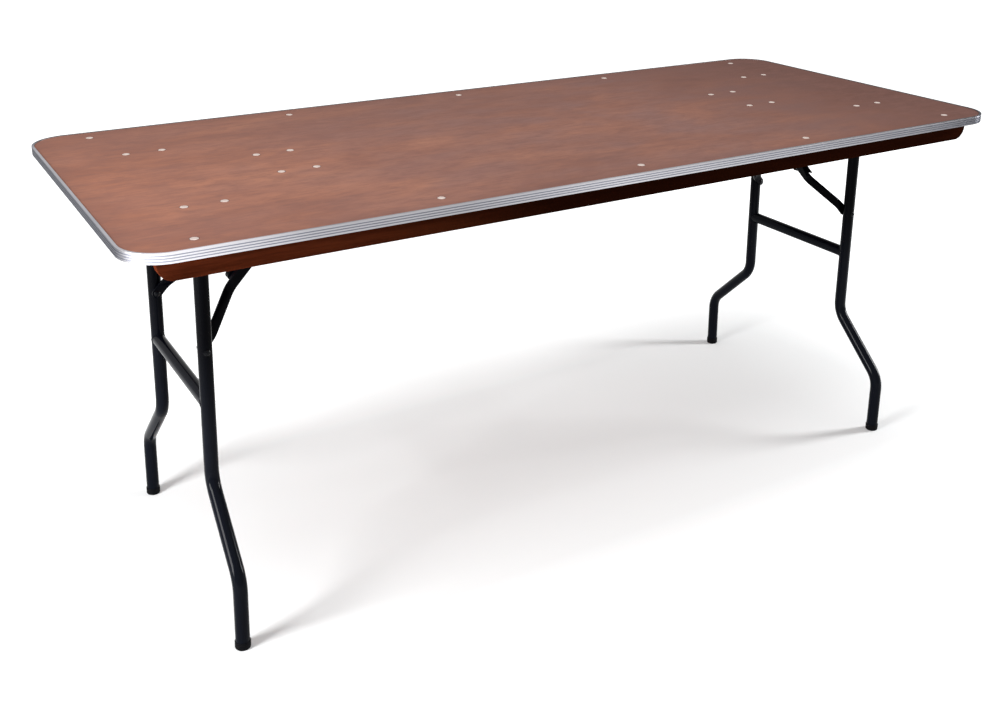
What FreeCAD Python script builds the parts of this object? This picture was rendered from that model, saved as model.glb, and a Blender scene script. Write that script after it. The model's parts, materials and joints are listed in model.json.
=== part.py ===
import FreeCAD, Part
import math
import os

# Folding buffet table: plywood top with an aluminium edge, wooden side rails and two leg sets that fold.
# X runs along the table, Y across it and Z up. The origin is on the floor under the middle of the top.

# Overall sizes of the top
table_length = 1829.0
table_width = 762.0
table_height = 762.0
corner_radius = 70.0

# Aluminium edge moulding
edge_height = 16.6
edge_wall = 1.6
lip_width = 5.0
lip_thickness = 0.8
edge_rounding = 0.8
flute_count = 3
flute_width = 1.8
flute_depth = 0.5

# Side rails
rail_end_inset = 48.5
rail_thickness = 20.0
rail_height = 40.7
rail_edge_inset = 35.5
rail_end_radius = 26.0
rail_edge_rounding = 1.5

# Flat-headed fasteners that show on the top
screw_end_margin = 60.0
screws_per_rail = 5
screw_length = 30.0
fastener_shank_radius = 2.5
fastener_head_radius = 6.7
fastener_head_height = 0.6
fastener_tail_radius = 5.0
fastener_tail_height = 2.4

# Leg sets
tube_radius = 12.5
tube_wall = 1.5
leg_spacing = 307.7
foot_spacing = 567.2
high_bend_height = 255.5
low_bend_height = 130.6
tube_bend_radius = 58.0
tube_end_above_pivot = 13.0
crossbar_radius = 12.4
crossbar_wall = 1.5
crossbar_height = 403.0
foot_cap_radius = 13.7
foot_cap_height = 14.0
foot_cap_floor = 4.0
foot_cap_rounding = 3.5
foot_cap_below_floor = 0.8
leg_lean_degrees = 1.43

# Leg pivots
leg_end_inset = 166.0
pivot_below_panel = 22.2
pivot_pin_radius = 4.0
pivot_head_radius = 7.5
pivot_head_height = 2.6

# Brackets under the top
bracket_thickness = 2.5
bracket_rivet_pitch = 65.0
bracket_end_margin = 13.5
bracket_rivet_margin = 12.0
bracket_corner_radius = 5.0
bracket_bend_radius = 1.0
leg_bracket_offset = 5.5
leg_bracket_width = 25.6
leg_bracket_ear_radius = 14.0
leg_bracket_shoulder = 30.0
brace_bracket_offset = 13.3
brace_bracket_width = 25.6
brace_bracket_ear_radius = 11.0
brace_bracket_shoulder = 20.0

# Braces
brace_pin_below_panel = 29.2
brace_pin_below_pivot = 224.0
brace_slope_degrees = 47.0
brace_pin_radius = 3.2
brace_head_radius = 6.0
brace_head_height = 2.6
channel_width = 14.0
channel_wall = 2.0
channel_web_offset = 13.0
channel_open_offset = 8.5
channel_top_radius = 8.5
channel_web_start = 30.0
channel_overhang = 48.0
channel_nose_start = 24.0
channel_nose_level = 6.0
channel_nose_radius = 6.0
stop_lip_length = 25.0
stop_lip_height = 3.0
stop_lip_reach = 12.5
strap_thickness = 5.0
strap_width = 18.4
joggle_start = 23.5
joggle_end = 102.5
joggle_depth = 52.25
joggle_bend_radius = 35.0

# Clearances
side_clearance = 0.5
head_clearance = 0.2
pin_clearance = 0.08
knuckle_clearance = 0.5
stop_clearance = 0.3
overrun = 60.0

# Places worked out from the sizes above
panel_thickness = edge_height - 2 * lip_thickness
panel_top = table_height - lip_thickness
panel_underside = panel_top - panel_thickness
rail_y = table_width / 2 - rail_edge_inset - rail_thickness / 2
rail_length = table_length - 2 * rail_end_inset
screw_pitch = (rail_length - 2 * screw_end_margin) / (screws_per_rail - 1)
leg_y = leg_spacing / 2
foot_y = foot_spacing / 2
pivot_x = table_length / 2 - leg_end_inset
pivot_z = panel_underside - pivot_below_panel
brace_pin_x = pivot_x + brace_pin_below_pivot * math.sin(math.radians(leg_lean_degrees))
brace_pin_z = pivot_z - brace_pin_below_pivot * math.cos(math.radians(leg_lean_degrees))
top_pin_z = panel_underside - brace_pin_below_panel
brace_length = (top_pin_z - brace_pin_z) / math.sin(math.radians(brace_slope_degrees))
top_pin_x = brace_pin_x - brace_length * math.cos(math.radians(brace_slope_degrees))

# The folded leg lies level, and the folded knuckle lies level with the middle between the brace's two pins.
# It is on the ellipse round these pins whose long diameter is the brace's length.
folded_gap_x = top_pin_x - (pivot_x - brace_pin_below_pivot)
folded_gap_z = pivot_z - top_pin_z
folded_gap = math.hypot(folded_gap_x, folded_gap_z)
short_diameter = math.sqrt(brace_length ** 2 - folded_gap ** 2)
folded_reach = brace_length * short_diameter * folded_gap / 2 / math.hypot(
    short_diameter * folded_gap_x, brace_length * folded_gap_z)
channel_length = math.hypot(folded_reach - folded_gap_x / 2, folded_gap_z / 2)
strap_length = brace_length - channel_length
strap_leg_y = leg_y - tube_radius - side_clearance - strap_thickness / 2
strap_knuckle_y = strap_leg_y - joggle_depth
channel_outer_y = strap_knuckle_y - strap_thickness / 2 - knuckle_clearance
channel_inner_y = channel_outer_y - channel_width
leg_ear_y = leg_y + tube_radius + side_clearance
brace_ear_y = (channel_inner_y + channel_outer_y + bracket_thickness) / 2
leg_bracket_x = pivot_x - leg_bracket_offset
brace_bracket_x = top_pin_x - brace_bracket_offset

ORIGIN = FreeCAD.Vector(0, 0, 0)
X_AXIS = FreeCAD.Vector(1, 0, 0)
Y_AXIS = FreeCAD.Vector(0, 1, 0)
Z_AXIS = FreeCAD.Vector(0, 0, 1)
PIVOT = FreeCAD.Vector(pivot_x, 0, pivot_z)
CORNERS = (("left", "front"), ("left", "rear"), ("right", "front"), ("right", "rear"))


def vec(x, y, z):
    return FreeCAD.Vector(x, y, z)


def box(x_range, y_range, z_range):
    """Block between the given limits along each axis."""
    size = [high - low for low, high in (x_range, y_range, z_range)]
    return Part.makeBox(size[0], size[1], size[2], vec(x_range[0], y_range[0], z_range[0]))


def cylinder_along_y(radius, y_from, y_to, x, z):
    return Part.makeCylinder(radius, y_to - y_from, vec(x, y_from, z), Y_AXIS)


def rounded_panel(inset, bottom, top):
    """Upright block with the table's rounded outline, drawn in by the inset."""
    radius = corner_radius - inset
    half_x = table_length / 2 - inset
    half_y = table_width / 2 - inset
    block = box((-half_x, half_x), (-half_y, half_y), (bottom, top))
    upright = [edge for edge in block.Edges if edge.Vertexes[0].Z != edge.Vertexes[-1].Z]
    return block.makeFillet(radius, upright)


def rounded_path(points, radius):
    """Wire through the points with a tangent arc at each inner point."""
    edges = []
    start = points[0]
    for corner, after in zip(points[1:-1], points[2:]):
        incoming = (corner - start).normalize()
        outgoing = (after - corner).normalize()
        turn = incoming.getAngle(outgoing)
        reach = radius * math.tan(turn / 2)
        arc_from = corner - incoming * reach
        arc_to = corner + outgoing * reach
        inward = (outgoing - incoming).normalize()
        middle = corner + inward * (radius / math.cos(turn / 2) - radius)
        edges.append(Part.LineSegment(start, arc_from).toShape())
        edges.append(Part.Arc(arc_from, middle, arc_to).toShape())
        start = arc_to
    edges.append(Part.LineSegment(start, points[-1]).toShape())
    return Part.Wire(edges)


def swept(path, section):
    return path.makePipeShell([section], True, False)


def circle_wire(centre, normal, radius):
    return Part.Wire([Part.Circle(centre, normal, radius).toShape()])


def prism_along_y(points, y_from, y_to):
    """Block with the given XZ outline, where a pair of points is an arc's middle and its end."""
    edges = []
    start = points[0]
    for step in list(points[1:]) + [points[0]]:
        middle, end = step if isinstance(step[0], tuple) else (None, step)
        begin = vec(start[0], y_from, start[1])
        finish = vec(end[0], y_from, end[1])
        if middle is not None:
            edges.append(Part.Arc(begin, vec(middle[0], y_from, middle[1]), finish).toShape())
        elif (finish - begin).Length > 0:
            edges.append(Part.LineSegment(begin, finish).toShape())
        start = end
    return Part.Face(Part.Wire(edges)).extrude(vec(0, y_to - y_from, 0))


def rivet(start, direction, length, shank_radius, head, tail):
    """Domed head behind the start, a shank, and a domed tail past the far end; (radius, height) each."""
    def dome(radius, height, level, outward):
        curve = (radius * radius + height * height) / (2 * height)
        angle = math.asin(radius / curve) / 2
        bulge = height - curve * (1 - math.cos(angle))
        return vec(curve * math.sin(angle), 0, level + outward * bulge)

    head_apex = vec(0, 0, -head[1])
    head_rim = vec(head[0], 0, 0)
    tail_apex = vec(0, 0, length + tail[1])
    tail_rim = vec(tail[0], 0, length)
    edges = [Part.Arc(head_apex, dome(head[0], head[1], 0, -1), head_rim).toShape()]
    corners = [head_rim, vec(shank_radius, 0, 0), vec(shank_radius, 0, length), tail_rim]
    for first, second in zip(corners, corners[1:]):
        if (second - first).Length > 0:
            edges.append(Part.LineSegment(first, second).toShape())
    if tail[1] > 0:
        edges.append(Part.Arc(tail_rim, dome(tail[0], tail[1], length, 1), tail_apex).toShape())
    else:
        edges.append(Part.LineSegment(tail_rim, tail_apex).toShape())
    edges.append(Part.LineSegment(tail_apex, head_apex).toShape())
    solid = Part.Face(Part.Wire(edges)).revolve(ORIGIN, Z_AXIS, 360)
    solid.Placement = FreeCAD.Placement(start, FreeCAD.Rotation(Z_AXIS, direction))
    return solid


def at_corner(shape, corner):
    """Copy of a right rear piece in the named corner."""
    side, face = corner
    placed = shape if side == "right" else shape.mirror(ORIGIN, X_AXIS)
    return placed if face == "rear" else placed.mirror(ORIGIN, Y_AXIS)


def leaned(shape):
    """Leg set's piece, modelled upright, leaned outward about the leg pivot."""
    turned = shape.copy()
    turned.rotate(PIVOT, Y_AXIS, -leg_lean_degrees)
    return turned


# Top

def screw_places():
    first = -(screws_per_rail - 1) / 2
    return [(first + index) * screw_pitch for index in range(screws_per_rail)]


def bracket_rivet_places(centre_x):
    return (centre_x - bracket_rivet_pitch / 2, centre_x + bracket_rivet_pitch / 2)


def leg_rivet_y():
    return leg_ear_y + leg_bracket_width - bracket_rivet_margin


def brace_rivet_y():
    return brace_ear_y - brace_bracket_width + bracket_rivet_margin


def bracket_holes():
    """Places of the bracket rivets in all four corners, leg brackets first."""
    places = []
    for centre_x, y in ((leg_bracket_x, leg_rivet_y()), (brace_bracket_x, brace_rivet_y())):
        for side in (-1, 1):
            for face in (-1, 1):
                for x in bracket_rivet_places(centre_x):
                    places.append((side * x, face * y))
    return places


def rail_holes():
    return [(x, face * rail_y) for face in (-1, 1) for x in screw_places()]


def shank_hole(x, y, depth):
    return Part.makeCylinder(fastener_shank_radius, depth, vec(x, y, panel_top), -Z_AXIS)


def plywood_top():
    panel = rounded_panel(edge_wall, panel_underside, panel_top)
    holes = [shank_hole(x, y, panel_thickness) for x, y in rail_holes() + bracket_holes()]
    return panel.cut(Part.makeCompound(holes))


def edge_moulding():
    bottom = table_height - edge_height
    ring = rounded_panel(0, bottom, table_height)
    rims = [edge for edge in ring.Edges if edge.BoundBox.ZLength < edge_rounding]
    ring = ring.makeFillet(edge_rounding, rims)
    ring = ring.cut(rounded_panel(edge_wall, panel_underside, panel_top))
    ring = ring.cut(rounded_panel(lip_width, bottom - overrun, table_height + overrun))
    pitch = edge_height / (flute_count + 1)
    for index in range(flute_count):
        low = bottom + (index + 1) * pitch - flute_width / 2
        groove = rounded_panel(0, low, low + flute_width)
        groove = groove.cut(rounded_panel(flute_depth, low - overrun, low + overrun))
        ring = ring.cut(groove)
    return ring


def side_rail(face):
    half = rail_length / 2
    low = panel_underside - rail_height
    diagonal = rail_end_radius * (1 - math.cos(math.pi / 4))
    outline = [
        (-half, panel_underside),
        (-half, low + rail_end_radius),
        ((-half + diagonal, low + diagonal), (-half + rail_end_radius, low)),
        (half - rail_end_radius, low),
        ((half - diagonal, low + diagonal), (half, low + rail_end_radius)),
        (half, panel_underside),
    ]
    rail = prism_along_y(outline, rail_y - rail_thickness / 2, rail_y + rail_thickness / 2)
    lowest = panel_underside - rail_edge_rounding
    lower = [edge for edge in rail.Edges
             if edge.BoundBox.YLength < rail_edge_rounding and edge.BoundBox.ZMin < lowest]
    rail = rail.makeFillet(rail_edge_rounding, lower)
    holes = [shank_hole(x, rail_y, panel_thickness + screw_length) for x in screw_places()]
    rail = rail.cut(Part.makeCompound(holes))
    return rail if face == "rear" else rail.mirror(ORIGIN, Y_AXIS)


def top_fastener(x, y, length, tail):
    head = (fastener_head_radius, fastener_head_height)
    return rivet(vec(x, y, panel_top), -Z_AXIS, length, fastener_shank_radius, head, tail)


def rail_screws():
    tail = (fastener_shank_radius, 0)
    length = panel_thickness + screw_length
    return Part.makeCompound([top_fastener(x, y, length, tail) for x, y in rail_holes()])


def bracket_rivets(centre_x, side):
    tail = (fastener_tail_radius, fastener_tail_height)
    length = panel_thickness + bracket_thickness
    middle = centre_x if side == "right" else -centre_x
    places = [(x, y) for x, y in bracket_holes() if abs(x - middle) < bracket_rivet_pitch]
    return Part.makeCompound([top_fastener(x, y, length, tail) for x, y in places])


# Brackets

def angle_bracket(centre_x, pin_x, pin_drop, ear_y, outward, width, ear_radius, shoulder, hole_radius):
    """L-shaped plate under the panel: a riveted base, and an ear that hangs down to the pin."""
    half = bracket_rivet_pitch / 2 + bracket_end_margin
    base_low = panel_underside - bracket_thickness
    pin_z = panel_underside - pin_drop
    ear_far = ear_y + outward * bracket_thickness
    base_far = ear_y + outward * width
    low_y, high_y = sorted((ear_y, base_far))
    base = box((centre_x - half, centre_x + half), (low_y, high_y), (base_low, panel_underside))
    corners = [edge for edge in base.Edges
               if edge.BoundBox.ZLength > bracket_thickness / 2
               and abs(edge.BoundBox.YMin - base_far) < bracket_thickness]
    base = base.makeFillet(bracket_corner_radius, corners)
    outline = [
        (centre_x - half, panel_underside),
        (centre_x - half, base_low),
        (pin_x - shoulder, base_low - bracket_thickness),
        (pin_x - ear_radius, pin_z),
        ((pin_x, pin_z - ear_radius), (pin_x + ear_radius, pin_z)),
        (pin_x + shoulder, base_low - bracket_thickness),
        (centre_x + half, base_low),
        (centre_x + half, panel_underside),
    ]
    ear = prism_along_y(outline, *sorted((ear_y, ear_far)))
    plate = base.fuse(ear).removeSplitter()
    inner = [edge for edge in plate.Edges
             if edge.BoundBox.XLength > half and abs(edge.BoundBox.ZMin - base_low) < bracket_bend_radius / 2
             and abs(edge.BoundBox.YMin - ear_far) < bracket_bend_radius / 2
             and edge.BoundBox.YLength < bracket_bend_radius / 2]
    plate = plate.makeFillet(bracket_bend_radius, inner)
    rivet_y = ear_y + outward * (width - bracket_rivet_margin)
    depth = panel_thickness + bracket_thickness
    holes = [shank_hole(x, rivet_y, depth) for x in bracket_rivet_places(centre_x)]
    holes.append(cylinder_along_y(hole_radius, low_y - overrun, high_y + overrun, pin_x, pin_z))
    return plate.cut(Part.makeCompound(holes))


def leg_bracket():
    return angle_bracket(leg_bracket_x, pivot_x, pivot_below_panel, leg_ear_y, 1, leg_bracket_width,
                         leg_bracket_ear_radius, leg_bracket_shoulder, pivot_pin_radius)


def brace_bracket():
    return angle_bracket(brace_bracket_x, top_pin_x, brace_pin_below_panel, brace_ear_y, -1,
                         brace_bracket_width, brace_bracket_ear_radius, brace_bracket_shoulder,
                         brace_pin_radius)


def leg_pivot_pin():
    """Headed pin through the leg bracket's ear and the leg tube."""
    outer = leg_ear_y + bracket_thickness
    inner = leg_y - tube_radius - head_clearance
    head = (pivot_head_radius, pivot_head_height)
    return rivet(vec(pivot_x, outer, pivot_z), -Y_AXIS, outer - inner, pivot_pin_radius, head, head)


def brace_top_pin():
    """Headed pin through the brace bracket's ear and the channel's two cheeks."""
    outer = channel_outer_y + head_clearance
    inner = channel_inner_y - head_clearance
    head = (brace_head_radius, brace_head_height)
    return rivet(vec(top_pin_x, outer, top_pin_z), -Y_AXIS, outer - inner, brace_pin_radius, head, head)


# Leg sets

def leg_path(tube_bottom):
    top = vec(pivot_x, leg_y, pivot_z + tube_end_above_pivot)
    points = [
        top,
        vec(pivot_x, leg_y, high_bend_height),
        vec(pivot_x, foot_y, low_bend_height),
        vec(pivot_x, foot_y, tube_bottom),
    ]
    return rounded_path(points, tube_bend_radius)


def leg_tube():
    path = leg_path(foot_cap_floor)
    start = vec(pivot_x, leg_y, pivot_z + tube_end_above_pivot)
    tube = swept(path, circle_wire(start, -Z_AXIS, tube_radius))
    tube = tube.cut(swept(path, circle_wire(start, -Z_AXIS, tube_radius - tube_wall)))
    y_from, y_to = leg_y - overrun, leg_y + overrun
    tube = tube.cut(cylinder_along_y(pivot_pin_radius + pin_clearance, y_from, y_to, pivot_x, pivot_z))
    rivet_z = pivot_z - brace_pin_below_pivot
    tube = tube.cut(cylinder_along_y(brace_pin_radius, y_from, y_to, pivot_x, rivet_z))
    return leaned(tube)


def crossbar():
    """Tube between the two legs, its ends cut to the legs' round."""
    bar = cylinder_along_y(crossbar_radius, -leg_y, leg_y, pivot_x, crossbar_height)
    bar = bar.cut(cylinder_along_y(crossbar_radius - crossbar_wall, -leg_y, leg_y, pivot_x, crossbar_height))
    for side in (-1, 1):
        foot = vec(pivot_x, side * leg_y, crossbar_height - overrun)
        bar = bar.cut(Part.makeCylinder(tube_radius, 2 * overrun, foot))
    return leaned(bar)


def foot_cap():
    """Plastic cap over the tube's end, cut level with the floor."""
    base = vec(pivot_x, foot_y, -foot_cap_below_floor)
    cap = Part.makeCylinder(foot_cap_radius, foot_cap_height + foot_cap_below_floor, base)
    rim = [edge for edge in cap.Edges if edge.BoundBox.ZMax < 0]
    cap = cap.makeFillet(foot_cap_rounding, rim)
    seat = vec(pivot_x, foot_y, foot_cap_floor)
    cap = cap.cut(Part.makeCylinder(tube_radius, foot_cap_height, seat))
    cap = leaned(cap)
    reach = table_length
    return cap.cut(box((-reach, reach), (-reach, reach), (-overrun, 0)))


def brace_leg_rivet():
    """Rivet through the leg tube that carries the brace's strap on the leg's inner side."""
    outer = leg_y + tube_radius
    inner = strap_leg_y - strap_thickness / 2 - head_clearance
    head = (brace_head_radius, brace_head_height)
    start = vec(pivot_x, outer, pivot_z - brace_pin_below_pivot)
    return leaned(rivet(start, -Y_AXIS, outer - inner, brace_pin_radius, head, head))


# Braces

def placed_strap(shape):
    """Moves a piece from the strap's own frame, X from the leg pin to the knuckle, into the table."""
    placed = shape.copy()
    placed.rotate(ORIGIN, Y_AXIS, brace_slope_degrees - 180)
    placed.translate(vec(brace_pin_x, 0, brace_pin_z))
    return placed


def placed_channel(shape):
    """Moves a piece from the channel's own frame, X from the top pin to the knuckle, into the table."""
    placed = shape.copy()
    placed.rotate(ORIGIN, Y_AXIS, brace_slope_degrees)
    placed.translate(vec(top_pin_x, 0, top_pin_z))
    return placed


def brace_strap():
    """Flat bar that lies on the leg's inner side, steps inward and runs on beside the channel."""
    end_radius = strap_width / 2
    points = [
        vec(-end_radius, strap_leg_y, 0),
        vec(joggle_start, strap_leg_y, 0),
        vec(joggle_end, strap_knuckle_y, 0),
        vec(strap_length + end_radius, strap_knuckle_y, 0),
    ]
    half_t = strap_thickness / 2
    corners = [
        vec(-end_radius, strap_leg_y - half_t, -end_radius),
        vec(-end_radius, strap_leg_y + half_t, -end_radius),
        vec(-end_radius, strap_leg_y + half_t, end_radius),
        vec(-end_radius, strap_leg_y - half_t, end_radius),
    ]
    bar = swept(rounded_path(points, joggle_bend_radius), Part.makePolygon(corners + corners[:1]))
    outline = [
        (0, -end_radius),
        (strap_length, -end_radius),
        ((strap_length + end_radius, 0), (strap_length, end_radius)),
        (0, end_radius),
        ((-end_radius, 0), (0, -end_radius)),
    ]
    y_range = (strap_knuckle_y - overrun, strap_leg_y + overrun)
    bar = bar.common(prism_along_y(outline, *y_range))
    bar = bar.cut(cylinder_along_y(brace_pin_radius + pin_clearance, *y_range, 0, 0))
    bar = bar.cut(cylinder_along_y(brace_pin_radius, *y_range, strap_length, 0))
    return placed_strap(bar)


def strap_knuckle_rivet():
    """Strap's half of the knuckle rivet."""
    outer = strap_knuckle_y + strap_thickness / 2
    head = (brace_head_radius, brace_head_height)
    tail = (brace_pin_radius, 0)
    start = vec(strap_length, outer, 0)
    return placed_strap(rivet(start, -Y_AXIS, strap_thickness, brace_pin_radius, head, tail))


def brace_channel():
    """U-shaped link open on its lower side, with a nose and a stop lip past the knuckle."""
    web_top = channel_web_offset + channel_wall
    nose_x = channel_length + channel_overhang
    corner_x = nose_x - channel_nose_radius
    corner_z = web_top - channel_nose_radius
    diagonal = channel_nose_radius * math.sin(math.pi / 4)
    outline = [
        (0, -channel_open_offset),
        (channel_length + channel_nose_start, -channel_open_offset),
        (nose_x, channel_nose_level),
        (nose_x, corner_z),
        ((corner_x + diagonal, corner_z + diagonal), (corner_x, web_top)),
        (channel_web_start, web_top),
        (0, channel_top_radius),
        ((-channel_top_radius, 0), (0, -channel_open_offset)),
    ]
    body = prism_along_y(outline, channel_inner_y, channel_outer_y)
    hollow_y = (channel_inner_y + channel_wall, channel_outer_y - channel_wall)
    body = body.cut(box((-overrun, nose_x + overrun), hollow_y, (-overrun, channel_web_offset)))
    body = body.cut(box((-overrun, channel_web_start), hollow_y, (-overrun, overrun)))
    lip_x = (nose_x - stop_lip_length, nose_x)
    lip_y = (channel_outer_y - channel_wall, channel_outer_y + stop_lip_reach)
    lip_low = strap_width / 2 + stop_clearance
    body = body.fuse(box(lip_x, lip_y, (lip_low, lip_low + stop_lip_height))).removeSplitter()
    y_range = (channel_inner_y - overrun, channel_outer_y + overrun)
    body = body.cut(cylinder_along_y(brace_pin_radius + pin_clearance, *y_range, 0, 0))
    body = body.cut(cylinder_along_y(brace_pin_radius, *y_range, channel_length, 0))
    return placed_channel(body)


def channel_knuckle_rivet():
    """Channel's half of the knuckle rivet, across both cheeks."""
    head = (brace_head_radius, brace_head_height)
    start = vec(channel_length, channel_inner_y, 0)
    return placed_channel(rivet(start, Y_AXIS, channel_width, brace_pin_radius, head, (brace_pin_radius, 0)))


def build():
    nodes = {
        "plywood_top": plywood_top(),
        "edge_moulding": edge_moulding(),
        "side_rail_front": side_rail("front"),
        "side_rail_rear": side_rail("rear"),
        "rail_screws": rail_screws(),
        "leg_pivot_pins": Part.makeCompound([at_corner(leg_pivot_pin(), c) for c in CORNERS]),
        "brace_top_pins": Part.makeCompound([at_corner(brace_top_pin(), c) for c in CORNERS]),
    }
    per_corner = {
        "leg_bracket": leg_bracket(),
        "brace_bracket": brace_bracket(),
        "leg_tube": leg_tube(),
        "foot_cap": foot_cap(),
        "brace_strap": brace_strap(),
        "strap_rivet": strap_knuckle_rivet(),
        "brace_channel": brace_channel(),
        "channel_rivet": channel_knuckle_rivet(),
    }
    for name, shape in per_corner.items():
        for corner in CORNERS:
            nodes["_".join((name,) + corner)] = at_corner(shape, corner)
    for side in ("left", "right"):
        nodes["leg_bracket_rivets_" + side] = bracket_rivets(leg_bracket_x, side)
        nodes["brace_bracket_rivets_" + side] = bracket_rivets(brace_bracket_x, side)
        nodes["crossbar_" + side] = at_corner(crossbar(), (side, "rear"))
        rivets = [at_corner(brace_leg_rivet(), (side, face)) for face in ("front", "rear")]
        nodes["brace_leg_rivets_" + side] = Part.makeCompound(rivets)
    return nodes


os.makedirs("parts", exist_ok=True)
for node, shape in build().items():
    shape.exportStep(os.path.join("parts", node + ".step"))
    print(node, len(shape.Solids), round(shape.Volume), shape.isValid())
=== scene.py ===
import json
import math

import bmesh
import bpy
from mathutils import Matrix, Vector


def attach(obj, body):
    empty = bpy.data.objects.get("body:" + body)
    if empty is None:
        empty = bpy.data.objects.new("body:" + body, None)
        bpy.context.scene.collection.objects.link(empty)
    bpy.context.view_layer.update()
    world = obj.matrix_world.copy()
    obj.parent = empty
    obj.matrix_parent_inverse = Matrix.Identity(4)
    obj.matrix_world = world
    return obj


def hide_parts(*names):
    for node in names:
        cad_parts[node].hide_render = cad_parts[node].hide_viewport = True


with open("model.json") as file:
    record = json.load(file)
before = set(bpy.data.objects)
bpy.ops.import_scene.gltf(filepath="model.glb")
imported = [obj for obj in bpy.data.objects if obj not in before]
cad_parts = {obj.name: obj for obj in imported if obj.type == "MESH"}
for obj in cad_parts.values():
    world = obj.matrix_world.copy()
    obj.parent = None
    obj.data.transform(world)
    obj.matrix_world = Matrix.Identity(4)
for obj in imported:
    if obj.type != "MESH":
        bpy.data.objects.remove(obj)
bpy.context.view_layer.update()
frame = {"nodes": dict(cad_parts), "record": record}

# Dressed folding buffet table. Blender's lengths are in metres. The sizes of the pieces are in millimetres,
# as in the part's source, and a piece is scaled when it is made.

SIDES = ("left", "right")
FACES = ("front", "rear")
CORNERS = [(side, face) for side in SIDES for face in FACES]
QUADRANTS = ((1, 1), (-1, 1), (-1, -1), (1, -1))
MILLIMETRE = 0.001

# How finely round forms are divided
TUBE_COUNT = 44
TURNED_COUNT = 28
CAP_COUNT = 40
CORNER_STEPS = 20
ROUNDING_STEPS = 4
FLUTE_STEPS = 8
RAIL_END_STEPS = 12
HEAD_STEPS = 8
BEND_STEPS = 14
WELD_STEPS = 120
WELD_COUNT = 8
CAP_STEPS = 6
STRAP_EDGE_STEPS = 3
SHARP_ANGLE = math.radians(38.0)

# Top
TABLE_LENGTH = 1829.0
TABLE_WIDTH = 762.0
TABLE_HEIGHT = 762.0
CORNER_RADIUS = 70.0
EDGE_HEIGHT = 16.6
EDGE_WALL = 1.6
EDGE_ROUNDING = 0.8
LIP_WIDTH = 5.0
LIP_THICKNESS = 0.8
LIP_CHAMFER = 0.3
FLUTE_COUNT = 3
FLUTE_WIDTH = 1.8
FLUTE_DEPTH = 0.5
FLUTE_FULLNESS = 0.6
PANEL_TOP = TABLE_HEIGHT - LIP_THICKNESS
PANEL_UNDERSIDE = TABLE_HEIGHT - EDGE_HEIGHT + LIP_THICKNESS

# Rails
RAIL_LENGTH = 1732.0
RAIL_Y = 335.5
RAIL_THICKNESS = 20.0
RAIL_HEIGHT = 40.7
RAIL_END_RADIUS = 26.0
RAIL_EDGE_ROUNDING = 1.5

# Fasteners that show on the top: the rear rail's screws, and the right rear corner's rivets
SCREW_X = (-806.0, -403.0, 0.0, 403.0, 806.0)
LEG_BRACKET_RIVETS = ((710.5, 180.65), (775.5, 180.65))
BRACE_BRACKET_RIVETS = ((506.0, 63.75), (571.0, 63.75))
HEAD_RADIUS = 6.7
HEAD_HEIGHT = 0.72
HEAD_SINK = 0.02
TIP_RADIUS = 0.4
SHANK_RADIUS = 2.5
TAIL_RADIUS = 5.0
TAIL_HEIGHT = 2.4
TAIL_ANGLES = (0.4, 0.8, 1.15, 1.5)
SCREW_REACH = 45.0
SCREW_POINT = 5.0
BRACKET_THICKNESS = 2.5
# Dark gap round a head: (distance outside the head, depth below the panel's top)
GAP_PROFILE = ((-0.3, HEAD_SINK), (0.5, -0.06), (0.9, HEAD_SINK))

# Leg sets
PIVOT_X = 748.5
PIVOT_Z = 724.0
LEAN = math.radians(1.43)
TUBE_RADIUS = 12.5
TUBE_WALL = 1.5
TUBE_TOP = 737.0
LEG_Y = 153.85
FOOT_Y = 283.6
HIGH_BEND = 255.5
LOW_BEND = 130.6
TUBE_BEND_RADIUS = 58.0
BEND_FLATTENING = 0.035
CROSSBAR_RADIUS = 12.4
CROSSBAR_HEIGHT = 403.0
CROSSBAR_REACH = 1.0
WELD_RADIUS = 1.3
WELD_RIPPLES = 20
WELD_RIPPLE_SHARE = 0.12
WELD_WAVES = 3
WELD_WAVE_SHARE = 0.08
CAP_RADIUS = 13.7
CAP_HEIGHT = 14.0
CAP_FLOOR = 4.0
CAP_ROUNDING = 3.5
CAP_BELOW_FLOOR = 0.8
# The cap's groove, upper edge and mouth: (inset from its radius, drop below its top)
CAP_COLLAR = ((0.0, 5.2), (0.35, 4.8), (0.35, 4.2), (0.0, 3.8), (0.0, 0.6), (0.5, 0.0),
              (1.5, 0.0), (1.5, 1.0))

# Brace straps
BRACE_PIN = (754.09, 500.07)
BRACE_SLOPE = math.radians(47.0)
STRAP_LENGTH = 161.95
STRAP_WIDTH = 18.4
STRAP_THICKNESS = 5.0
STRAP_EDGE = 0.8
STRAP_END_DEGREES = (4, 14, 26, 40, 55, 72)
STRAP_LEG_Y = 138.35
STRAP_KNUCKLE_Y = 86.1
JOGGLE_START = 23.5
JOGGLE_END = 102.5
JOGGLE_RADIUS = 35.0

# Camera, fitted to the photograph
CAMERA_PLACE = (-1.234726, -1.899074, 1.310067)
CAMERA_TURN = 0.542434
CAMERA_DIP = 0.333743
CAMERA_ROLL = 0.008712
SENSOR_WIDTH = 36.0
FOCAL_LENGTH = 41.3775
SHIFT_UP = -0.1184

# Lamps: name, place, the point that it faces, size, and power in watts
LAMPS = (
    ("overhead", (-0.3, 0.05, 4.5), (-0.3, 0.05, 0.0), (4.6, 4.4), 92.0),
    ("left_panel", (-2.9, -0.6, 1.15), (0.0, 0.0, 0.5), (0.85, 1.5), 112.0),
    ("right_panel", (2.9, -0.87, 1.0), (0.0, 0.0, 0.5), (0.5, 1.3), 78.0),
)
WORLD_LIGHT = 0.22

# Floor
FLOOR_REACH = 30.0
FLOOR_COLOUR = (0.84, 0.855, 0.86, 1.0)
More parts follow.
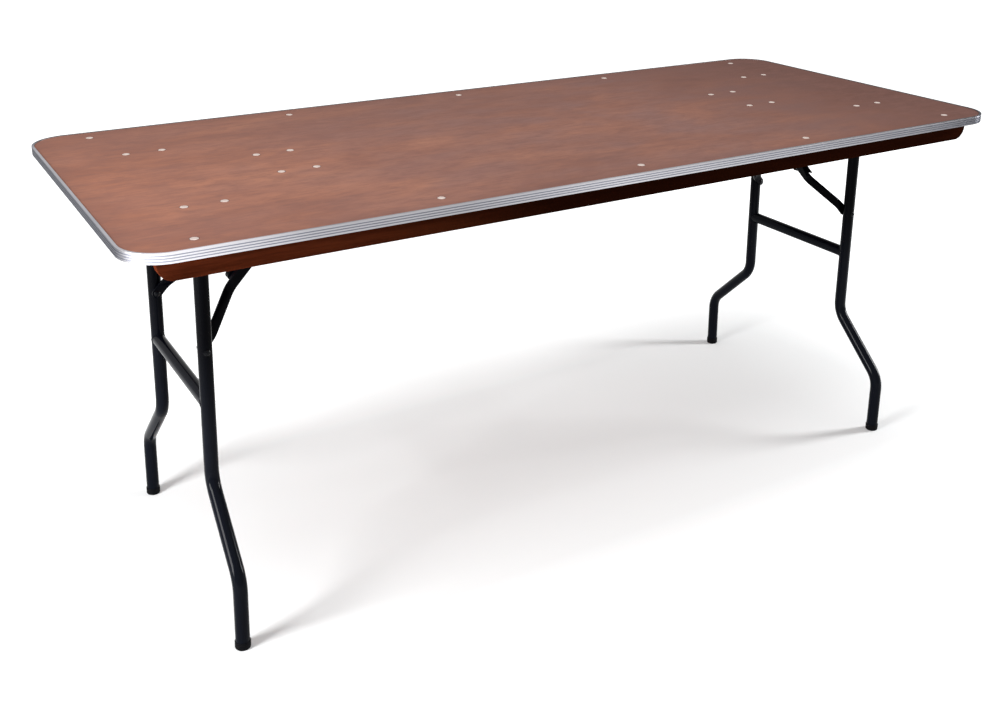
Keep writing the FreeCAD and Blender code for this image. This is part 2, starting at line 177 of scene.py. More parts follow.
# Its glow by the distance from the middle and from the long axis: (near, far, glow near, glow far)
GLOW_AROUND = (0.95, 2.5, 0.12, 1.0)
GLOW_BESIDE = (0.34, 0.75, 0.12, 0.55)

# Finishes; colours are linear
METAL_TINT = (0.45, 0.46, 0.48, 1.0)
# Pale veil added over the top's stain, a painted sheen
PAINTED_SHEEN_VEIL = (0.056, 0.053, 0.05, 1.0)
# Painted highlights and shade along the moulding from its left end to its right one: (place from 0 to 1,
# share of the metal's colour)
FACE_PAINTED_LIGHT = ((0.0, 0.33), (0.022, 1.6), (0.15, 0.78), (0.287, 0.64), (0.45, 0.95), (0.86, 0.36),
               (0.985, 0.16))
LIP_PAINTED_LIGHT = ((0.0, 1.0), (0.022, 1.6), (0.15, 0.72), (0.287, 0.66), (0.45, 0.95), (0.86, 0.36),
              (0.985, 0.2))
# Share on the rear and right end faces, and the painted shade on the rear lip
PLAIN_FACE = 0.75
REAR_LIP_SHADE = 0.2
# Heights in metres between which painted shade makes the enamel darker and duller
ENAMEL_SHADE_HEIGHTS = (0.34, 0.52)


def srgb(red, green, blue):
    """Linear colour for a display colour of 0 to 255."""
    linear = []
    for value in (red, green, blue):
        share = value / 255
        linear.append(share / 12.92 if share <= 0.04045 else ((share + 0.055) / 1.055) ** 2.4)
    return (*linear, 1.0)


def grey(share):
    """Linear grey of a share of white."""
    return (share, share, share, 1.0)


class Material:
    """Procedural material, built from the object's own coordinates in metres."""

    def __init__(self, name, **settings):
        self.material = bpy.data.materials.new(name)
        self.material.use_nodes = True
        self.tree = self.material.node_tree
        self.shader = self.tree.nodes["Principled BSDF"]
        self.place = self.node("ShaderNodeTexCoord").outputs["Object"]
        self.set(**settings)

    def node(self, kind, **settings):
        made = self.tree.nodes.new(kind)
        for name, value in settings.items():
            setattr(made, name, value)
        return made

    def feed(self, socket, value):
        """Links a socket's output, or sets a plain value."""
        if isinstance(value, bpy.types.NodeSocket):
            self.tree.links.new(value, socket)
        else:
            socket.default_value = value

    def set(self, **settings):
        """Sets or links the shader's sockets; a name's underscores are spaces."""
        for name, value in settings.items():
            self.feed(self.shader.inputs[name.replace("_", " ")], value)

    def noise(self, scale, detail, roughness, distortion=0.0, shift=(0.0, 0.0, 0.0)):
        """Noise with a scale along each axis, the object coordinates being stretched by it."""
        mapping = self.node("ShaderNodeMapping")
        self.feed(mapping.inputs["Vector"], self.place)
        mapping.inputs["Scale"].default_value = scale
        mapping.inputs["Location"].default_value = shift
        texture = self.node("ShaderNodeTexNoise")
        self.feed(texture.inputs["Vector"], mapping.outputs["Vector"])
        texture.inputs["Scale"].default_value = 1.0
        texture.inputs["Detail"].default_value = detail
        texture.inputs["Roughness"].default_value = roughness
        texture.inputs["Distortion"].default_value = distortion
        return texture.outputs["Fac"]

    def ramp(self, value, *stops):
        """Colours at places from 0 to 1, each stop being (place, colour)."""
        ramp = self.node("ShaderNodeValToRGB")
        elements = ramp.color_ramp.elements
        while len(elements) < len(stops):
            elements.new(0.5)
        for element, (place, colour) in zip(elements, stops):
            element.position = place
            element.color = colour
        self.feed(ramp.inputs["Fac"], value)
        return ramp.outputs["Color"]

    def span(self, value, low, high, to_low=0.0, to_high=1.0):
        """Maps a value's range onto another, clamped."""
        mapped = self.node("ShaderNodeMapRange")
        limits = (("From Min", low), ("From Max", high), ("To Min", to_low), ("To Max", to_high))
        for name, number in limits:
            mapped.inputs[name].default_value = number
        self.feed(mapped.inputs["Value"], value)
        return mapped.outputs["Result"]

    def mix(self, factor, first, second, blend="MIX"):
        """Mixes two colours; the Mix node has these at inputs 6 and 7, and the result at output 2."""
        mixed = self.node("ShaderNodeMix", data_type="RGBA", blend_type=blend)
        self.feed(mixed.inputs[0], factor)
        self.feed(mixed.inputs[6], first)
        self.feed(mixed.inputs[7], second)
        return mixed.outputs[2]

    def math(self, operation, first, second=0.0):
        made = self.node("ShaderNodeMath", operation=operation)
        self.feed(made.inputs[0], first)
        self.feed(made.inputs[1], second)
        return made.outputs[0]

    def axes(self):
        """The object coordinates' X, Y and Z."""
        parts = self.node("ShaderNodeSeparateXYZ")
        self.feed(parts.inputs[0], self.place)
        return parts.outputs

    def bump(self, height, strength, distance):
        made = self.node("ShaderNodeBump")
        made.inputs["Strength"].default_value = strength
        made.inputs["Distance"].default_value = distance
        self.feed(made.inputs["Height"], height)
        self.feed(self.shader.inputs["Normal"], made.outputs["Normal"])


def plywood_material():
    """Red-brown stain, clouded and finely grained, under a painted sheen; painted shade darkens it toward
    the right, and it is darker toward the rear and along the edges.
    """
    wood = Material("stained_plywood", Specular_IOR_Level=0.0)
    clouds = wood.noise((3.2, 6.5, 3.0), detail=5.0, roughness=0.62, distortion=0.5)
    mauve = wood.noise((4.5, 9.0, 8.0), detail=4.0, roughness=0.6, shift=(3.1, 0.7, 0.0))
    mottle = wood.noise((20.0, 40.0, 30.0), detail=5.0, roughness=0.68, distortion=0.4)
    streaks = wood.noise((22.0, 150.0, 60.0), detail=3.0, roughness=0.6)
    grain = wood.noise((70.0, 900.0, 600.0), detail=2.0, roughness=0.5)
    stain = wood.ramp(
        clouds,
        (0.30, srgb(140, 86, 68)),
        (0.44, srgb(162, 103, 79)),
        (0.58, srgb(178, 116, 89)),
        (0.70, srgb(190, 127, 97)),
    )
    x, y, _ = wood.axes()
    # Pale mauve patches, growing toward the right: partly the wood's tone, partly a painted sheen
    mauve_tone_and_sheen = wood.math("MULTIPLY", wood.span(mauve, 0.40, 0.64), wood.span(x, -0.8, 0.1, 0.3, 1.0))
    stain = wood.mix(mauve_tone_and_sheen, stain, srgb(150, 107, 98))
    # The tints along X that darken the stain toward the right are painted shade; mottle, streaks and grain
    # are the wood's own
    # Each tint: what it follows, its low and high, the tint's shares there, and its colour
    for value, low, high, at_low, at_high, tint in (
        (x, -0.9, -0.25, 0.28, 0.0, srgb(128, 66, 42)),
        (x, -0.85, -0.2, 0.0, 0.44, srgb(118, 82, 75)),
        (x, 0.3, 0.85, 0.0, 0.85, srgb(92, 52, 43)),
        (y, 0.0, 0.32, 0.0, 0.26, srgb(108, 74, 68)),
        (mottle, 0.42, 0.66, 0.0, 0.5, srgb(124, 80, 70)),
        (streaks, 0.48, 0.72, 0.0, 0.42, srgb(116, 76, 68)),
        (grain, 0.5, 0.8, 0.0, 0.22, srgb(108, 72, 66)),
    ):
        stain = wood.mix(wood.span(value, low, high, at_low, at_high), stain, tint)
    near_end = wood.span(wood.math("ABSOLUTE", x), 0.862, 0.913)
    near_side = wood.span(wood.math("ABSOLUTE", y), 0.335, 0.38)
    border = wood.math("MAXIMUM", near_end, near_side)
    stain = wood.mix(wood.math("MULTIPLY", border, 0.28), stain, srgb(104, 62, 52))
    # A pale veil over the whole top is a painted sheen
    stain = wood.mix(1.0, stain, PAINTED_SHEEN_VEIL, "ADD")
    wood.set(Base_Color=stain, Roughness=wood.span(mauve, 0.3, 0.7, 0.5, 0.62))
    wood.bump(grain, 0.1, 0.0004)
    return wood.material


def rail_material():
    """Dark red-brown hardwood with long grain; painted shade darkens it away from its left end, more so at
    the front.
    """
    wood = Material("rail_hardwood", Specular_IOR_Level=0.0)
    figure = wood.noise((3.0, 30.0, 38.0), detail=4.0, roughness=0.6, distortion=0.8)
    grain = wood.noise((20.0, 500.0, 520.0), detail=3.0, roughness=0.6)
    stain = wood.ramp(
        figure,
        (0.32, srgb(72, 30, 15)),
        (0.52, srgb(94, 42, 23)),
        (0.72, srgb(110, 52, 29)),
    )
    x, y, _ = wood.axes()
    # Painted shade: darker away from the left end, less so on the rear rail
    painted_shade_away_from_left = wood.span(x, -0.84, -0.2, 0.0, 0.9)
    less_painted_shade_at_rear = wood.span(y, 0.0, 0.01, 1.0, 0.4)
    stain = wood.mix(wood.math("MULTIPLY", painted_shade_away_from_left, less_painted_shade_at_rear), stain, srgb(17, 5, 2))
    stain = wood.mix(wood.span(grain, 0.48, 0.75, 0.0, 0.5), stain, srgb(38, 14, 8))
    wood.set(Base_Color=stain, Roughness=wood.span(figure, 0.3, 0.7, 0.4, 0.52))
    wood.bump(grain, 0.15, 0.0004)
    return wood.material


def painted_edge_light(metal):
    """Painted highlights and shade along the moulding, as shares of the metal's colour; its rear and right
    end faces have one share, and its rear lip is darker.
    """
    x, y, z = metal.axes()
    half = TABLE_LENGTH / 2 * MILLIMETRE
    along = metal.span(x, -half, half)
    rear_or_right = metal.math("MULTIPLY", metal.span(y, -0.33, -0.25), metal.span(x, -0.9, -0.85))
    face, lip = (metal.ramp(along, *((place, grey(share)) for place, share in stops))
                 for stops in (FACE_PAINTED_LIGHT, LIP_PAINTED_LIGHT))
    face = metal.mix(rear_or_right, face, grey(PLAIN_FACE))
    lip = metal.mix(metal.span(y, 0.3, 0.36), lip, grey(REAR_LIP_SHADE))
    return metal.mix(metal.span(z, 0.7614, 0.7619), face, lip)


def aluminium_material():
    """Extruded aluminium with faint lines along its length, under painted highlights and shade."""
    metal = Material("extruded_aluminium", Metallic=1.0, Specular_Tint=METAL_TINT)
    lines = metal.noise((6.0, 6.0, 2500.0), detail=2.0, roughness=0.5)
    cloud = metal.noise((5.0, 5.0, 5.0), detail=3.0, roughness=0.6)
    colour = metal.mix(lines, srgb(170, 169, 175), srgb(198, 196, 199))
    metal.set(Base_Color=metal.mix(1.0, colour, painted_edge_light(metal), "MULTIPLY"),
              Roughness=metal.span(cloud, 0.3, 0.7, 0.3, 0.42))
    metal.bump(lines, 0.05, 0.0002)
    return metal.material


def flute_material():
    """Darker, duller metal down in the moulding's flutes: painted shade in the recesses, with some grime,
    under painted highlights and shade along the moulding.
    """
    metal = Material("flute_aluminium", Metallic=1.0, Specular_Tint=METAL_TINT)
    grime_and_shade = metal.noise((40.0, 40.0, 400.0), detail=3.0, roughness=0.6)
    colour = metal.mix(grime_and_shade, srgb(111, 113, 126), srgb(149, 151, 161))
    metal.set(Base_Color=metal.mix(1.0, colour, painted_edge_light(metal), "MULTIPLY"),
              Roughness=metal.span(grime_and_shade, 0.3, 0.7, 0.45, 0.6))
    metal.bump(grime_and_shade, 0.05, 0.0002)
    return metal.material


def fastener_material():
    """Pale metal heads, a little worn."""
    metal = Material("fastener_heads", Metallic=0.7)
    wear = metal.noise((180.0, 180.0, 180.0), detail=3.0, roughness=0.6)
    metal.set(Base_Color=metal.mix(wear, srgb(180, 162, 154), srgb(220, 204, 196)),
              Roughness=metal.span(wear, 0.3, 0.7, 0.38, 0.5))
    metal.bump(wear, 0.1, 0.0003)
    return metal.material


def gap_material():
    """Dark colour in the narrow gap round each head."""
    dark = Material("head_gap", Specular_IOR_Level=0.1)
    spread = dark.noise((400.0, 400.0, 400.0), detail=2.0, roughness=0.5)
    dark.set(Base_Color=dark.mix(spread, srgb(58, 34, 28), srgb(92, 58, 50)), Roughness=0.7)
    return dark.material


def enamel_material(name, shine, smoothest, roughest):
    """Black enamel with a faint orange peel, with painted shade making it darker and duller higher up."""
    paint = Material(name)
    cloud = paint.noise((9.0, 9.0, 9.0), detail=3.0, roughness=0.6)
    peel = paint.noise((320.0, 320.0, 320.0), detail=2.0, roughness=0.5)
    colour = paint.mix(cloud, srgb(5, 7, 13), srgb(13, 16, 25))
    height = paint.axes()[2]
    # Painted shade under the top: darker and less shiny higher up
    colour = paint.mix(paint.span(height, *ENAMEL_SHADE_HEIGHTS, 0.0, 0.9), colour, srgb(2, 2, 4))
    paint.set(Base_Color=colour,
              Specular_IOR_Level=paint.span(height, *ENAMEL_SHADE_HEIGHTS, shine, 0.45 * shine),
              Roughness=paint.span(cloud, 0.3, 0.7, smoothest, roughest))
    paint.bump(peel, 0.03, 0.0004)
    return paint.material


def plastic_material():
    """Matte black moulded plastic with a fine texture."""
    plastic = Material("cap_plastic", Specular_IOR_Level=0.05)
    grain = plastic.noise((900.0, 900.0, 900.0), detail=2.0, roughness=0.5)
    scuffs = plastic.noise((60.0, 60.0, 140.0), detail=3.0, roughness=0.6)
    plastic.set(Base_Color=plastic.mix(scuffs, srgb(4, 4, 6), srgb(14, 14, 17)),
                Roughness=plastic.span(scuffs, 0.3, 0.7, 0.5, 0.68))
    plastic.bump(grain, 0.15, 0.0002)
    return plastic.material


def dress_nodes():
    """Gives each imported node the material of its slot, and returns the materials by slot."""
    finishes = {
        "top_plywood": plywood_material(),
        "rail_wood": rail_material(),
        "edge_aluminium": aluminium_material(),
        "fastener_metal": fastener_material(),
        "black_steel": enamel_material("black_enamel", shine=0.05, smoothest=0.08, roughest=0.14),
        "pin_steel": enamel_material("pin_enamel", shine=0.18, smoothest=0.12, roughest=0.2),
        "cap_plastic": plastic_material(),
    }
    for subpart in frame["record"]["subparts"]:
        mesh = frame["nodes"][subpart["node"]].data
        mesh.materials.clear()
        mesh.materials.append(finishes[subpart["material_slot"]])
    return finishes


# Mesh building

class Shape:
    """Mesh in millimetres, built from rings of points."""

    def __init__(self):
        self.mesh = bmesh.new()

    def loft(self, rings, joined=False, material=lambda band: 0):
        """Skin through the rings, capped at its two ends, or joined round to the first ring."""
        rows = [[self.mesh.verts.new(point) for point in points] for points in rings]
        bands = list(zip(rows, rows[1:]))
        if joined:
            bands.append((rows[-1], rows[0]))
        else:
            self.mesh.faces.new(rows[0])
            self.mesh.faces.new(rows[-1])
        for band, (first, second) in enumerate(bands):
            for corners in zip(first, first[1:] + first[:1], second[1:] + second[:1], second):
                self.mesh.faces.new(corners).material_index = material(band)
        return self

    def made(self, name, body, slot, materials, replaced, corner=("right", "rear")):
        """Makes the object, mirrored into its corner; it rides on its body and stands for CAD nodes."""
        bmesh.ops.recalc_face_normals(self.mesh, faces=self.mesh.faces)
        side, face = corner
        flips = (1 if side == "right" else -1, 1 if face == "rear" else -1, 1)
        bmesh.ops.scale(self.mesh, vec=[flip * MILLIMETRE for flip in flips], verts=self.mesh.verts)
        if flips[0] * flips[1] < 0:
            bmesh.ops.reverse_faces(self.mesh, faces=self.mesh.faces)
        data = bpy.data.meshes.new(name)
        self.mesh.to_mesh(data)
        self.mesh.free()
        for material in materials:
            data.materials.append(material)
        data.shade_smooth()
        data.set_sharp_from_angle(angle=SHARP_ANGLE)
        piece = bpy.data.objects.new(name, data)
        bpy.context.scene.collection.objects.link(piece)
        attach(piece, body)
        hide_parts(*replaced)


def quarter_turn(steps):
    """Angles from 0 to a right angle."""
    return [math.pi / 2 * index / steps for index in range(steps + 1)]


def full_turn(count):
    """Angles round a circle, the first being 0."""
    return [2 * math.pi * index / count for index in range(count)]


def ring(centre, normal, radius, count=TUBE_COUNT, flat=1.0):
    """Circle of points round the centre; flat narrows it across the X axis."""
    normal = Vector(normal).normalized()
    across = Vector((1.0, 0.0, 0.0))
    other = normal.cross(across)
    return [Vector(centre) + radius * (math.cos(angle) * across + flat * math.sin(angle) * other)
            for angle in full_turn(count)]


def turned(profile, start, direction, count=TURNED_COUNT):
    """Rings of a round form: (radius, distance along the direction) from its start."""
    direction = Vector(direction)
    return [ring(Vector(start) + level * direction, direction, radius, count) for radius, level in profile]


def bent_path(points, radius):
    """(place, direction, share of the bend) along straight runs joined by arcs."""
    points = [Vector(point) for point in points]
    path = [(points[0], (points[1] - points[0]).normalized(), 0.0)]
    for before, corner, after in zip(points, points[1:], points[2:]):
        incoming = (corner - before).normalized()
        outgoing = (after - corner).normalized()
        turn = incoming.angle(outgoing)
        inward = (outgoing - incoming).normalized()
        centre = corner + inward * (radius / math.cos(turn / 2))
        spoke = corner - incoming * (radius * math.tan(turn / 2)) - centre
        axis = incoming.cross(outgoing).normalized()
        for index in range(BEND_STEPS + 1):
            share = index / BEND_STEPS
            spin = Matrix.Rotation(turn * share, 3, axis)
            path.append((centre + spin @ spoke, spin @ incoming, math.sin(math.pi * share)))
    path.append((points[-1], (points[-1] - points[-2]).normalized(), 0.0))
    return path


def leaned(rings):
    """Rings of an upright leg set's piece, leaned outward about the leg pivot."""
    pivot = Vector((PIVOT_X, 0.0, PIVOT_Z))
    lean = Matrix.Rotation(-LEAN, 3, "Y")
    return [[pivot + lean @ (point - pivot) for point in points] for points in rings]


# Top

def outline_ring(inset, height):
    """The table's rounded outline, drawn in by the inset, at a height."""
    radius = CORNER_RADIUS - inset
    points = []
    for quarter, (side, face) in enumerate(QUADRANTS):
        x = side * (TABLE_LENGTH / 2 - CORNER_RADIUS)
        y = face * (TABLE_WIDTH / 2 - CORNER_RADIUS)
        for index in range(CORNER_STEPS + 1):
            angle = (quarter + index / CORNER_STEPS) * math.pi / 2
            points.append(Vector((x + radius * math.cos(angle), y + radius * math.sin(angle), height)))
    return points


def edge_section():
    """(inset, height, whether the band after it lies in a flute) round the moulding's section."""
    low = TABLE_HEIGHT - EDGE_HEIGHT
    section = [(LIP_WIDTH, TABLE_HEIGHT - LIP_CHAMFER, 0), (LIP_WIDTH - LIP_CHAMFER, TABLE_HEIGHT, 0)]
    for angle in quarter_turn(ROUNDING_STEPS):
        height = TABLE_HEIGHT - EDGE_ROUNDING * (1 - math.cos(angle))
        section.append((EDGE_ROUNDING * (1 - math.sin(angle)), height, 0))
    for index in range(FLUTE_COUNT, 0, -1):
        middle = low + index * EDGE_HEIGHT / (FLUTE_COUNT + 1)
        for step in range(FLUTE_STEPS + 1):
            depth = FLUTE_DEPTH * math.sin(math.pi * step / FLUTE_STEPS) ** FLUTE_FULLNESS
            height = middle + FLUTE_WIDTH * (0.5 - step / FLUTE_STEPS)
            section.append((depth, height, int(step < FLUTE_STEPS)))
    for angle in quarter_turn(ROUNDING_STEPS):
        height = low + EDGE_ROUNDING * (1 - math.sin(angle))
        section.append((EDGE_ROUNDING * (1 - math.cos(angle)), height, 0))
    section += [(LIP_WIDTH, low, 0), (LIP_WIDTH, PANEL_UNDERSIDE, 0), (EDGE_WALL, PANEL_UNDERSIDE, 0),
                (EDGE_WALL, PANEL_TOP, 0), (LIP_WIDTH, PANEL_TOP, 0)]
    return section


def make_edge(finishes):
    section = edge_section()
    rings = [outline_ring(inset, height) for inset, height, _ in section]
    Shape().loft(rings, joined=True, material=lambda band: section[band][2]).made(
        "fluted_edge", "top", "edge_aluminium", [finishes["edge_aluminium"], flute_material()],
        ["edge_moulding"])


def rail_ring(offset, inset):
    """The rail's outline at an offset across it, its ends and lower side drawn in by the inset."""
    half = RAIL_LENGTH / 2 - inset
    low = PANEL_UNDERSIDE - RAIL_HEIGHT + inset
    radius = RAIL_END_RADIUS - inset
    outline = [(half, PANEL_UNDERSIDE), (-half, PANEL_UNDERSIDE)]
    for side, first in ((-1, math.pi), (1, 1.5 * math.pi)):
        for turn in quarter_turn(RAIL_END_STEPS):
            x = side * (half - radius) + radius * math.cos(first + turn)
            outline.append((x, low + radius * (1 + math.sin(first + turn))))
    return [Vector((x, RAIL_Y + offset, z)) for x, z in outline]


def make_rails(finishes):
    section = []
    for angle in quarter_turn(ROUNDING_STEPS):
        offset = RAIL_THICKNESS / 2 - RAIL_EDGE_ROUNDING * (1 - math.sin(angle))
        section.append((offset, RAIL_EDGE_ROUNDING * (1 - math.cos(angle))))
    rings = [rail_ring(-offset, inset) for offset, inset in reversed(section)]
    rings += [rail_ring(offset, inset) for offset, inset in section]
    for face in FACES:
        Shape().loft(rings).made(f"hardwood_rail_{face}", "top", "rail_wood", [finishes["rail_wood"]],
                                 [f"side_rail_{face}"], ("right", face))


def head_profile():
    """Low domed head that rises from the panel, as (radius, depth below the panel's top)."""
    profile = [(TIP_RADIUS, -HEAD_HEIGHT)]
    for index in range(1, HEAD_STEPS + 1):
        share = index / HEAD_STEPS
        profile.append((HEAD_RADIUS * share, -HEAD_HEIGHT * (1 - share ** 4) ** 0.5))
    return profile


def make_top_fasteners(finishes):
    """Screws and rivets with a domed head on the panel and a narrow dark gap round it."""
    under = PANEL_TOP - PANEL_UNDERSIDE + BRACKET_THICKNESS
    tail = [(SHANK_RADIUS, under), (TAIL_RADIUS, under)]
    tail += [(TAIL_RADIUS * math.cos(angle), under + TAIL_HEIGHT * math.sin(angle)) for angle in TAIL_ANGLES]
    screw_end = [(SHANK_RADIUS, SCREW_REACH - SCREW_POINT), (TIP_RADIUS, SCREW_REACH)]
    kinds = [("rail_screws", [(x, y) for y in (-RAIL_Y, RAIL_Y) for x in SCREW_X], screw_end)]
    for kind, places in (("leg", LEG_BRACKET_RIVETS), ("brace", BRACE_BRACKET_RIVETS)):
        for side in SIDES:
            sign = 1 if side == "right" else -1
            spots = [(sign * x, face * y) for face in (-1, 1) for x, y in places]
            kinds.append((f"{kind}_bracket_rivets_{side}", spots, tail))
    gap = [(HEAD_RADIUS + outside, depth) for outside, depth in GAP_PROFILE]
    down = (0, 0, -1)
    materials = [finishes["fastener_metal"], gap_material()]
    for node, spots, end in kinds:
        shape = Shape()
        for x, y in spots:
            start = (x, y, PANEL_TOP)
            shape.loft(turned(head_profile() + [(SHANK_RADIUS, HEAD_SINK)] + end, start, down))
            shape.loft(turned(gap, start, down), joined=True, material=lambda band: 1)
        shape.made(f"domed_{node}", "top", "fastener_metal", materials, [node])


# Leg sets

def make_tubes(finishes):
    path = bent_path([(PIVOT_X, LEG_Y, TUBE_TOP), (PIVOT_X, LEG_Y, HIGH_BEND), (PIVOT_X, FOOT_Y, LOW_BEND),
                      (PIVOT_X, FOOT_Y, CAP_FLOOR)], TUBE_BEND_RADIUS)
    outer = [ring(place, along, TUBE_RADIUS, flat=1 - BEND_FLATTENING * bend) for place, along, bend in path]
    inner = [ring(place, along, TUBE_RADIUS - TUBE_WALL) for place, along, _ in path[:2]]
    rings = leaned(inner[::-1] + outer)
    for side, face in CORNERS:
        Shape().loft(rings).made(f"bent_leg_{side}_{face}", f"leg_set_{side}", "black_steel",
                                 [finishes["black_steel"]], [f"leg_tube_{side}_{face}"], (side, face))


def saddle(angle, deeper=0.0):
    """Point at an angle round the crossbar where it meets the leg, or deeper in the leg's wall."""
    x = CROSSBAR_RADIUS * math.cos(angle)
    y = LEG_Y - math.sqrt(TUBE_RADIUS ** 2 - x ** 2) + deeper
    return Vector((PIVOT_X + x, y, CROSSBAR_HEIGHT + CROSSBAR_RADIUS * math.sin(angle)))


def weld_rings(side):
    """Rippled bead round the crossbar's end; side is 1 for the rear leg and -1 for the front one."""
    nearby = 0.01
    rings = []
    for angle in full_turn(WELD_STEPS):
        along = (saddle(angle + nearby) - saddle(angle - nearby)).normalized()
        outward = Vector((math.cos(angle), 0.0, math.sin(angle)))
        outward = (outward - outward.dot(along) * along).normalized()
        other = along.cross(outward)
        ripple = WELD_RIPPLE_SHARE * math.sin(WELD_RIPPLES * angle)
        wave = WELD_WAVE_SHARE * math.sin(WELD_WAVES * angle + side)
        radius = WELD_RADIUS * (1 + ripple + wave)
        points = []
        for turn in full_turn(WELD_COUNT):
            point = saddle(angle) + radius * (math.cos(turn) * outward + math.sin(turn) * other)
            points.append(Vector((point.x, side * point.y, point.z)))
        rings.append(points)
    return rings


def make_crossbars(finishes):
    rear = [saddle(angle, CROSSBAR_REACH) for angle in full_turn(TUBE_COUNT)]
    front = [Vector((point.x, -point.y, point.z)) for point in rear]
    for side in SIDES:
        shape = Shape().loft(leaned([front, rear]))
        for end in (-1, 1):
            shape.loft(leaned(weld_rings(end)), joined=True)
        shape.made(f"welded_crossbar_{side}", f"leg_set_{side}", "black_steel", [finishes["black_steel"]],
                   [f"crossbar_{side}"], (side, "rear"))


def make_caps(finishes):
    profile = [(TIP_RADIUS, 0.0)]
    for angle in quarter_turn(CAP_STEPS):
        radius = CAP_RADIUS - CAP_ROUNDING * (1 - math.sin(angle))
        profile.append((radius, CAP_ROUNDING * (1 - math.cos(angle))))
    top = CAP_HEIGHT + CAP_BELOW_FLOOR
    profile += [(CAP_RADIUS - inset, top - drop) for inset, drop in CAP_COLLAR]
    rings = leaned(turned(profile, (PIVOT_X, FOOT_Y, -CAP_BELOW_FLOOR), (0, 0, 1), CAP_COUNT))
    for points in rings:
        for point in points:
            point.z = max(point.z, 0.0)
    for side, face in CORNERS:
        Shape().loft(rings).made(f"moulded_cap_{side}_{face}", f"leg_set_{side}", "cap_plastic",
                                 [finishes["cap_plastic"]], [f"foot_cap_{side}_{face}"], (side, face))


# Braces

def strap_section(place, along, half_width):
    """Rounded rectangle across the strap at a place on its path."""
    across = Vector((-along.y, along.x, 0.0))
    half = STRAP_THICKNESS / 2
    edge = min(STRAP_EDGE, half_width / 2)
    points = []
    for quarter, (side, up) in enumerate(QUADRANTS):
        for index in range(STRAP_EDGE_STEPS + 1):
            angle = (quarter + index / STRAP_EDGE_STEPS) * math.pi / 2
            flat = side * (half - edge) + edge * math.cos(angle)
            high = up * (half_width - edge) + edge * math.sin(angle)
            points.append(place + flat * across + Vector((0.0, 0.0, high)))
    return points


def strap_end(x, y, outward):
    """Sections of a round end of the strap, from its tip to its full width."""
    radius = STRAP_WIDTH / 2
    sections = []
    for degrees in STRAP_END_DEGREES:
        angle = math.radians(degrees)
        place = Vector((x + outward * radius * math.cos(angle), y, 0.0))
        sections.append(strap_section(place, Vector((1.0, 0.0, 0.0)), radius * math.sin(angle)))
    return sections


def make_straps(finishes):
    """Flat bars with round ends, bent inward between the leg and the knuckle."""
    path = bent_path([(0, STRAP_LEG_Y, 0), (JOGGLE_START, STRAP_LEG_Y, 0), (JOGGLE_END, STRAP_KNUCKLE_Y, 0),
                      (STRAP_LENGTH, STRAP_KNUCKLE_Y, 0)], JOGGLE_RADIUS)
    rings = strap_end(0, STRAP_LEG_Y, -1)
    rings += [strap_section(place, along, STRAP_WIDTH / 2) for place, along, _ in path]
    rings += reversed(strap_end(STRAP_LENGTH, STRAP_KNUCKLE_Y, 1))
    turn = Matrix.Rotation(BRACE_SLOPE - math.pi, 3, "Y")
    pin = Vector((BRACE_PIN[0], 0.0, BRACE_PIN[1]))
    rings = [[pin + turn @ point for point in points] for points in rings]
    for side, face in CORNERS:
        Shape().loft(rings).made(f"bent_strap_{side}_{face}", f"strap_{side}_{face}", "black_steel",
                                 [finishes["black_steel"]], [f"brace_strap_{side}_{face}"], (side, face))


# Studio

def make_camera():
    turn, dip, roll = CAMERA_TURN, CAMERA_DIP, CAMERA_ROLL
    forward = Vector((math.sin(turn) * math.cos(dip), math.cos(turn) * math.cos(dip), -math.sin(dip)))
    right = Vector((math.cos(turn), -math.sin(turn), 0.0))
    up = right.cross(forward)
    right, up = (math.cos(roll) * right + math.sin(roll) * up,
                 math.cos(roll) * up - math.sin(roll) * right)
    data = bpy.data.cameras.new("camera")
    data.sensor_width = SENSOR_WIDTH
    data.lens = FOCAL_LENGTH
    data.shift_y = SHIFT_UP
    camera = bpy.data.objects.new("camera", data)
    faced = Matrix((right, up, -forward)).transposed().to_4x4()
    camera.matrix_world = Matrix.Translation(CAMERA_PLACE) @ faced
    bpy.context.scene.collection.objects.link(camera)
    bpy.context.scene.camera = camera


def softbox(name, place, target, size, power):
    """Rectangular lamp that faces the target."""
    data = bpy.data.lights.new(name, "AREA")
    data.shape = "RECTANGLE"
    data.size, data.size_y = size
    data.energy = power
    lamp = bpy.data.objects.new(name, data)
    lamp.location = place
    lamp.rotation_mode = "QUATERNION"
    lamp.rotation_quaternion = (Vector(target) - Vector(place)).to_track_quat("-Z", "Y")
    bpy.context.scene.collection.objects.link(lamp)


def shown_ray(tree):
    """Value of 1 for rays that see the background: camera, glossy and transmission rays."""
    rays = tree.nodes.new("ShaderNodeLightPath")
    value = rays.outputs["Is Camera Ray"]
    for kind in ("Is Glossy Ray", "Is Transmission Ray"):
        either = tree.nodes.new("ShaderNodeMath")
        either.operation = "MAXIMUM"
        tree.links.new(value, either.inputs[0])
        tree.links.new(rays.outputs[kind], either.inputs[1])
        value = either.outputs[0]
    return value


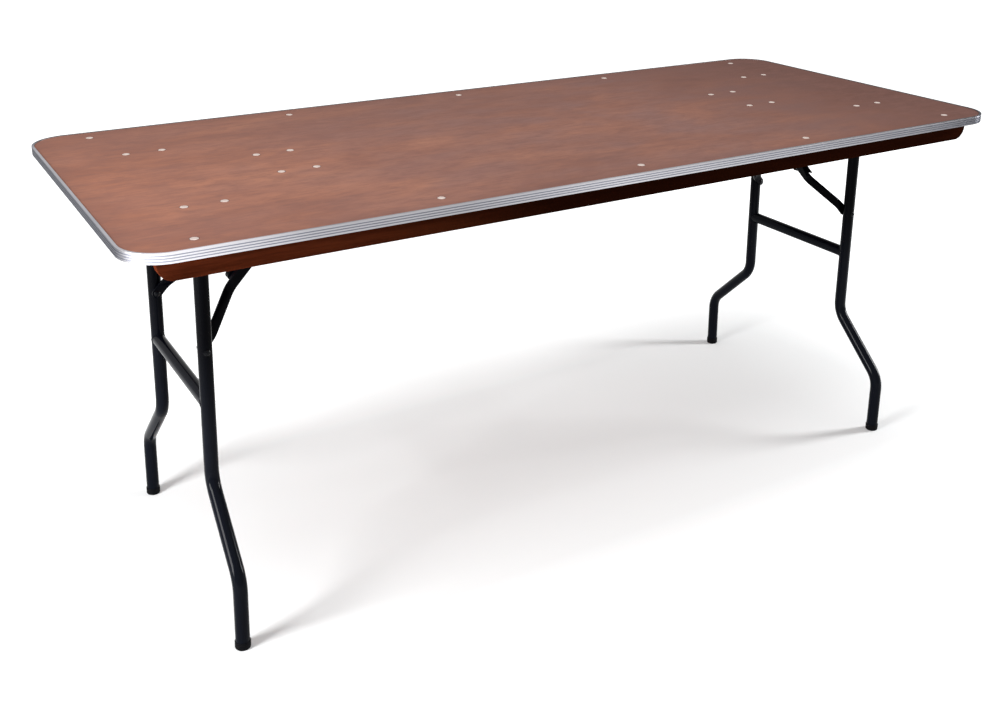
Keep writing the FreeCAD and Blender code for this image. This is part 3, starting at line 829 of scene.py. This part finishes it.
def make_world():
    """White background, and an even dimmer light."""
    world = bpy.data.worlds.new("studio")
    world.use_nodes = True
    tree = world.node_tree
    tree.nodes.clear()
    mixed = tree.nodes.new("ShaderNodeMixShader")
    output = tree.nodes.new("ShaderNodeOutputWorld")
    tree.links.new(shown_ray(tree), mixed.inputs[0])
    for socket, strength in ((1, WORLD_LIGHT), (2, 1.0)):
        background = tree.nodes.new("ShaderNodeBackground")
        background.inputs["Color"].default_value = grey(1.0)
        background.inputs["Strength"].default_value = strength
        tree.links.new(background.outputs[0], mixed.inputs[socket])
    tree.links.new(mixed.outputs[0], output.inputs[0])
    bpy.context.scene.world = world


def make_floor():
    """Pale floor that keeps the shadow, runs out into the white background and is clear from below."""
    mesh = bpy.data.meshes.new("floor")
    corners = [(FLOOR_REACH * x, FLOOR_REACH * y, 0.0) for x, y in ((-1, -1), (1, -1), (1, 1), (-1, 1))]
    mesh.from_pydata(corners, [], [(0, 1, 2, 3)])
    floor = bpy.data.objects.new("floor", mesh)
    bpy.context.scene.collection.objects.link(floor)
    paint = Material("studio_floor", Base_Color=FLOOR_COLOUR, Roughness=0.9, Specular_IOR_Level=0.0)
    distance = paint.node("ShaderNodeVectorMath", operation="LENGTH")
    paint.feed(distance.inputs[0], paint.place)
    around = paint.span(distance.outputs["Value"], *GLOW_AROUND)
    beside = paint.span(paint.math("ABSOLUTE", paint.axes()[1]), *GLOW_BESIDE)
    glow = paint.math("MULTIPLY", shown_ray(paint.tree), paint.math("MAXIMUM", around, beside))
    paint.set(Emission_Color=grey(1.0), Emission_Strength=glow)
    shown = paint.node("ShaderNodeMixShader")
    paint.feed(shown.inputs[0], paint.node("ShaderNodeNewGeometry").outputs["Backfacing"])
    paint.feed(shown.inputs[1], paint.shader.outputs[0])
    paint.feed(shown.inputs[2], paint.node("ShaderNodeBsdfTransparent").outputs[0])
    paint.feed(paint.tree.nodes["Material Output"].inputs["Surface"], shown.outputs[0])
    mesh.materials.append(paint.material)


make_camera()
make_world()
for lamp in LAMPS:
    softbox(*lamp)
make_floor()
finishes = dress_nodes()
make_edge(finishes)
make_rails(finishes)
make_top_fasteners(finishes)
make_tubes(finishes)
make_crossbars(finishes)
make_caps(finishes)
make_straps(finishes)
bpy.context.scene.view_settings.view_transform = "Standard"
